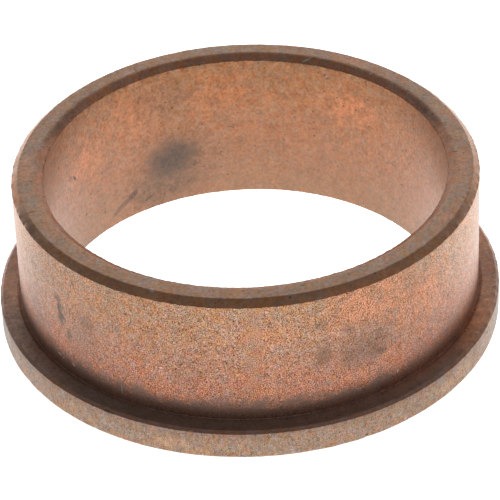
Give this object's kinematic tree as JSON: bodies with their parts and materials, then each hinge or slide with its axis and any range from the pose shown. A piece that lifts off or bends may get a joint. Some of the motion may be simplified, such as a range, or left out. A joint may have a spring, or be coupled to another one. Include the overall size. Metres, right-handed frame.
{
  "type": "flanged sleeve bushing",
  "caption": "Plain bearing in sintered bronze: the sleeve presses into a housing, a shaft turns in its bore, and a thrust flange at the lower end takes end load.",
  "frame": {"origin": "centre of the flange's outer face, which is the face that the part stands on", "axes": "+Z along the bore axis, from the flange towards the sleeve's free end; X and Y are any pair across it"},
  "size_m": [0.048, 0.048, 0.016],
  "materials": {
    "sintered_bronze": "satin sintered metal, fine open grain, oil-impregnated"
  },
  "bodies": {
    "root": {"flanged_bushing": "sintered_bronze"}
  },
  "joints": []
}
